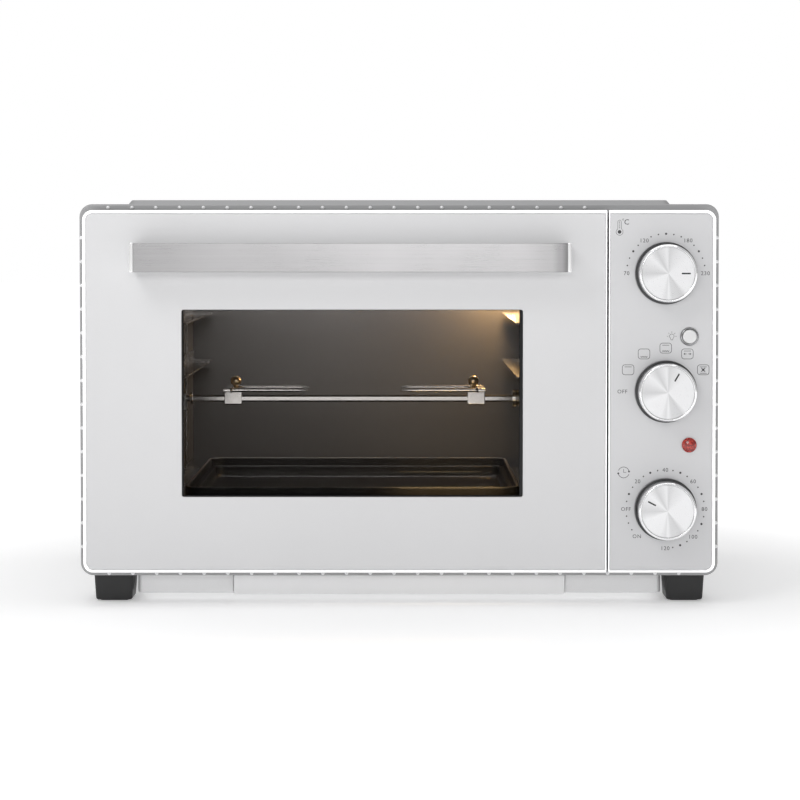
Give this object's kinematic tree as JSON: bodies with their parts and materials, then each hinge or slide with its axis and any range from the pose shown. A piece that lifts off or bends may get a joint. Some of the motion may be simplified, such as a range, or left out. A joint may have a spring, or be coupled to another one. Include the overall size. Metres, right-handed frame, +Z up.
{
  "type": "rotisserie oven",
  "caption": "Countertop rotisserie oven with a drop-down glass door, a turning spit with forks, a baking tray, a crumb tray and a column of control knobs.",
  "frame": {"origin": "on the worktop, under the middle of the whole oven", "axes": "+X to the right as seen from the front, the door faces -Y, +Z up"},
  "size_m": [0.545, 0.39, 0.345],
  "materials": {
    "silver_paint": "satin grey-silver paint, fine texture",
    "panel_silver": "satin light silver paint",
    "brushed_metal": "brushed along its length",
    "chrome": "polished plating",
    "zinc_sheet": "dull zinc-plated sheet",
    "dark_enamel": "glossy black enamel",
    "cavity_coat": "dark grey non-stick coating",
    "black_plastic": "fine-grained black",
    "heater_sheath": "dull heat-stained steel",
    "clear_glass": "clear, slightly grey",
    "red_lens": "translucent red",
    "bakelite": "moulded brown-beige insulator"
  },
  "bodies": {
    "cabinet": {"outer_casing": "silver_paint", "base_pan": "panel_silver", "rear_panel": "zinc_sheet", "front_frame": "zinc_sheet", "cavity_left_wall": "cavity_coat", "cavity_right_wall": "cavity_coat", "cavity_ceiling": "cavity_coat", "cavity_floor": "cavity_coat", "cavity_back_wall": "cavity_coat", "left_rack_rails": "chrome", "right_rack_rails": "chrome", "upper_heater_front": "heater_sheath", "upper_heater_rear": "heater_sheath", "lower_heater_front": "heater_sheath", "lower_heater_rear": "heater_sheath", "left_hinge": "zinc_sheet", "right_hinge": "zinc_sheet", "control_panel": "panel_silver", "thermostat": "bakelite", "function_switch": "bakelite", "timer": "zinc_sheet", "button_ring": "chrome", "lamp_switch": "bakelite", "pilot_lens": "red_lens", "spit_bearing": "zinc_sheet", "rotisserie_motor": "zinc_sheet", "fan_motor": "zinc_sheet", "lamp_glass": "clear_glass", "lamp_bulb": "clear_glass", "lamp_holder": "bakelite", "baking_tray": "dark_enamel", "front_left_foot": "black_plastic", "front_right_foot": "black_plastic", "rear_left_foot": "black_plastic", "rear_right_foot": "black_plastic", "cord_gland": "black_plastic"},
    "door": {"door_panel": "panel_silver", "door_inner_frame": "dark_enamel", "door_outer_glass": "clear_glass", "door_inner_glass": "clear_glass", "door_handle": "brushed_metal"},
    "left_stay": {"left_door_stay": "zinc_sheet"},
    "right_stay": {"right_door_stay": "zinc_sheet"},
    "temperature_control": {"temperature_knob": "brushed_metal", "temperature_spindle": "zinc_sheet"},
    "function_control": {"function_knob": "brushed_metal", "function_spindle": "zinc_sheet"},
    "timer_control": {"timer_knob": "brushed_metal", "timer_spindle": "zinc_sheet"},
    "lamp_push": {"lamp_button": "panel_silver"},
    "spit": {"spit_rod": "chrome", "drive_socket": "chrome"},
    "fork_left": {"left_fork": "chrome"},
    "fork_right": {"right_fork": "chrome"},
    "screw_left": {"left_thumbscrew": "chrome"},
    "screw_right": {"right_thumbscrew": "chrome"},
    "fan": {"fan_wheel": "zinc_sheet"},
    "crumb_drawer": {"crumb_tray": "panel_silver"}
  },
  "joints": [
    {"name": "door_hinge", "type": "hinge", "parent": "cabinet", "child": "door", "pos_m": [-0.046, -0.153, 0.0353], "axis": [1, 0, 0], "range_deg": [0, 87]},
    {"name": "left_stay_pivot", "type": "hinge", "parent": "door", "child": "left_stay", "pos_m": [-0.232, -0.151, 0.095], "axis": [1, 0, 0], "range_deg": [-59.2, 0]},
    {"name": "right_stay_pivot", "type": "hinge", "parent": "door", "child": "right_stay", "pos_m": [0.15, -0.151, 0.095], "axis": [1, 0, 0], "range_deg": [-59.2, 0]},
    {"name": "temperature_turn", "type": "hinge", "parent": "cabinet", "child": "temperature_control", "pos_m": [0.2248, -0.161, 0.2825], "axis": [0, 1, 0], "range_deg": [-180, 0]},
    {"name": "function_turn", "type": "hinge", "parent": "cabinet", "child": "function_control", "pos_m": [0.2248, -0.161, 0.1827], "axis": [0, 1, 0], "range_deg": [-120, 30]},
    {"name": "timer_turn", "type": "hinge", "parent": "cabinet", "child": "timer_control", "pos_m": [0.2248, -0.161, 0.0832], "axis": [0, 1, 0], "range_deg": [-75, 240]},
    {"name": "lamp_push_in", "type": "slide", "parent": "cabinet", "child": "lamp_push", "axis": [0, 1, 0], "range_m": [0, 0.0025], "stiffness_N_per_m": 300},
    {"name": "spit_turn", "type": "hinge", "parent": "cabinet", "child": "spit", "pos_m": [-0.041, 0.014, 0.1646], "axis": [1, 0, 0], "continuous": true},
    {"name": "left_fork_slide", "type": "slide", "parent": "spit", "child": "fork_left", "axis": [1, 0, 0], "range_m": [-0.025, 0.04]},
    {"name": "right_fork_slide", "type": "slide", "parent": "spit", "child": "fork_right", "axis": [1, 0, 0], "range_m": [-0.04, 0.02]},
    {"name": "left_screw_turn", "type": "hinge", "parent": "fork_left", "child": "screw_left", "pos_m": [-0.1503, 0.014, 0.1746], "axis": [0, 0, 1], "range_deg": [0, 720]},
    {"name": "right_screw_turn", "type": "hinge", "parent": "fork_right", "child": "screw_right", "pos_m": [0.0683, 0.014, 0.1746], "axis": [0, 0, 1], "range_deg": [0, 720]},
    {"name": "fan_turn", "type": "hinge", "parent": "cabinet", "child": "fan", "pos_m": [0.132, -0.056, 0.222], "axis": [1, 0, 0], "continuous": true},
    {"name": "crumb_tray_slide", "type": "slide", "parent": "cabinet", "child": "crumb_drawer", "axis": [0, -1, 0], "range_m": [0, 0.2]}
  ],
  "couplings": [
    {"joint": "left_stay_pivot", "follows": "door_hinge", "ratio": -0.678},
    {"joint": "right_stay_pivot", "follows": "door_hinge", "ratio": -0.678}
  ]
}
